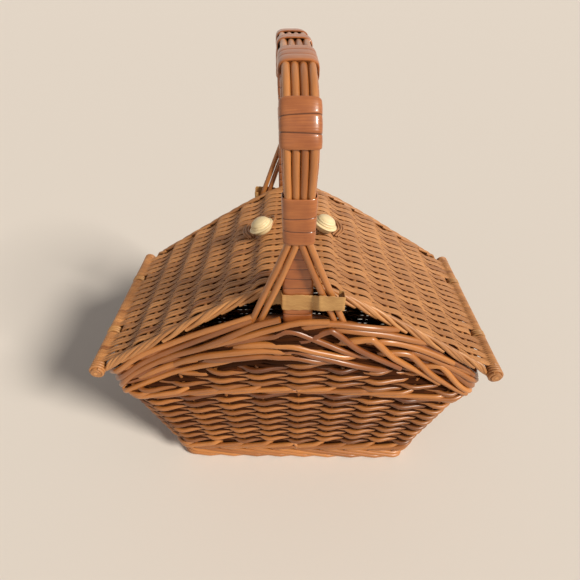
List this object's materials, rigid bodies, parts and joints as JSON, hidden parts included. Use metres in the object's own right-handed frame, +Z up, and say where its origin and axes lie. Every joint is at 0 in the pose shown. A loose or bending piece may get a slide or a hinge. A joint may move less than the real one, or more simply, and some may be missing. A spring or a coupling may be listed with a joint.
{
  "type": "lidded picnic basket",
  "caption": "Woven willow pie basket with a flared body, two sloping lids that turn on end sticks and meet under a fixed arch handle.",
  "frame": {"origin": "centre of the foot border's underside, on the surface the basket stands on", "axes": "+Z up, +X along the basket's length to its right end, +Y across it to the far side"},
  "size_m": [0.4084, 0.2342, 0.4651],
  "materials": {
    "body_willow": "stained, varnished willow",
    "border_willow": "stained willow, gloss varnish",
    "lid_willow": "split willow, dry varnish",
    "flat_cane": "flat cane wrapping, varnished",
    "round_sticks": "round sticks, gloss varnish",
    "pale_cane": "pale flat cane",
    "turned_beech": "turned wood, satin"
  },
  "bodies": {
    "basket": {"base_foot_border": "border_willow", "base_panel": "body_willow", "base_waling": "border_willow", "border_far": "border_willow", "border_left": "border_willow", "border_near": "border_willow", "border_right": "border_willow", "gusset_far": "body_willow", "gusset_near": "body_willow", "handle_bow": "flat_cane", "handle_brace_far_1": "round_sticks", "handle_brace_far_2": "round_sticks", "handle_brace_far_3": "round_sticks", "handle_brace_far_4": "round_sticks", "handle_brace_near_1": "round_sticks", "handle_brace_near_2": "round_sticks", "handle_brace_near_3": "round_sticks", "handle_brace_near_4": "round_sticks", "handle_low_band_far": "flat_cane", "handle_low_band_near": "flat_cane", "handle_shoulder_band_far": "flat_cane", "handle_shoulder_band_near": "flat_cane", "handle_stick_1": "round_sticks", "handle_stick_2": "round_sticks", "handle_stick_3": "round_sticks", "handle_stick_4": "round_sticks", "handle_tie_far": "pale_cane", "handle_tie_near": "pale_cane", "handle_top_band_far": "flat_cane", "handle_top_band_middle": "flat_cane", "handle_top_band_near": "flat_cane", "hinge_loop_left_far": "pale_cane", "hinge_loop_left_near": "pale_cane", "hinge_loop_right_far": "pale_cane", "hinge_loop_right_near": "pale_cane", "middle_waling": "border_willow", "wall_corner_far_left": "body_willow", "wall_corner_far_right": "body_willow", "wall_corner_near_left": "body_willow", "wall_corner_near_right": "body_willow", "wall_far": "body_willow", "wall_left": "body_willow", "wall_near": "body_willow", "wall_right": "body_willow"},
    "left_lid": {"lid_left_binding_far": "lid_willow", "lid_left_binding_near": "lid_willow", "lid_left_knob": "turned_beech", "lid_left_knob_collar": "flat_cane", "lid_left_panel": "lid_willow", "lid_left_pivot_stick": "lid_willow", "lid_left_ridge_stick": "lid_willow"},
    "right_lid": {"lid_right_binding_far": "lid_willow", "lid_right_binding_near": "lid_willow", "lid_right_knob": "turned_beech", "lid_right_knob_collar": "flat_cane", "lid_right_panel": "lid_willow", "lid_right_pivot_stick": "lid_willow", "lid_right_ridge_stick": "lid_willow"}
  },
  "joints": [
    {"name": "left_lid_hinge", "type": "hinge", "parent": "basket", "child": "left_lid", "pos_m": [-0.1965, 0, 0.1893], "axis": [0, -1, 0], "range_deg": [0, 140]},
    {"name": "right_lid_hinge", "type": "hinge", "parent": "basket", "child": "right_lid", "pos_m": [0.1965, 0, 0.1893], "axis": [0, 1, 0], "range_deg": [0, 140]}
  ]
}
